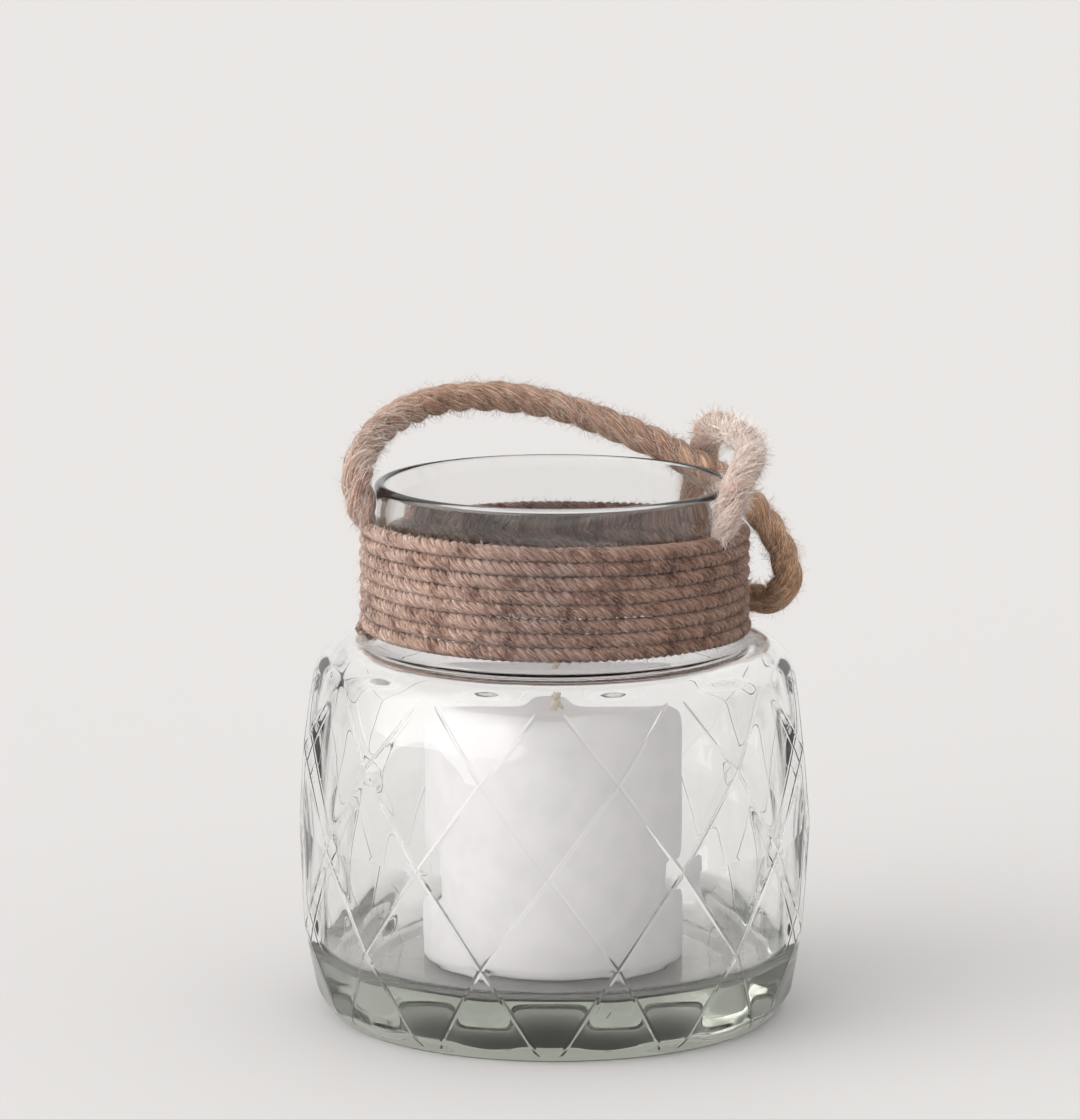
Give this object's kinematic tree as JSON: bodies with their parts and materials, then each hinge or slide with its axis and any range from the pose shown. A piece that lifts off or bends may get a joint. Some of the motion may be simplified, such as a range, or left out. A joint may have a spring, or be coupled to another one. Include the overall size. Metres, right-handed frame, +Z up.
{
  "type": "candle jar lantern",
  "caption": "Faceted wide-mouth glass jar lantern with jute twine wound on its neck, a rope handle that swings up over the mouth, and a loose pillar candle inside.",
  "frame": {"origin": "under the middle of the jar's foot, on the plane that it stands on", "axes": "+Z up along the jar's axis, front towards -Y, +X to the right seen from the front"},
  "size_m": [0.152, 0.152, 0.1811],
  "materials": {
    "glass": "clear, faint green tint, fire polished",
    "twine": "hairy jute, one thick strand",
    "rope": "hairy jute, three strands laid",
    "wax": "white paraffin, satin",
    "cotton": "unburnt braided cotton"
  },
  "bodies": {
    "jar": {"glass_jar": "glass", "neck_twine": "twine"},
    "handle": {"handle_rope": "rope", "side_eye_rope": "rope"},
    "candle": {"candle": "wax", "wick": "cotton"}
  },
  "joints": [
    {"name": "handle_swing", "type": "hinge", "parent": "jar", "child": "handle", "pos_m": [0, 0.02, 0.158], "axis": [-1, 0, 0], "range_deg": [-95, 0], "deforming": ["handle_rope", "side_eye_rope"]},
    {"name": "candle_lift", "type": "slide", "parent": "jar", "child": "candle", "axis": [0, 0, 1], "range_m": [0, 0.16]}
  ]
}
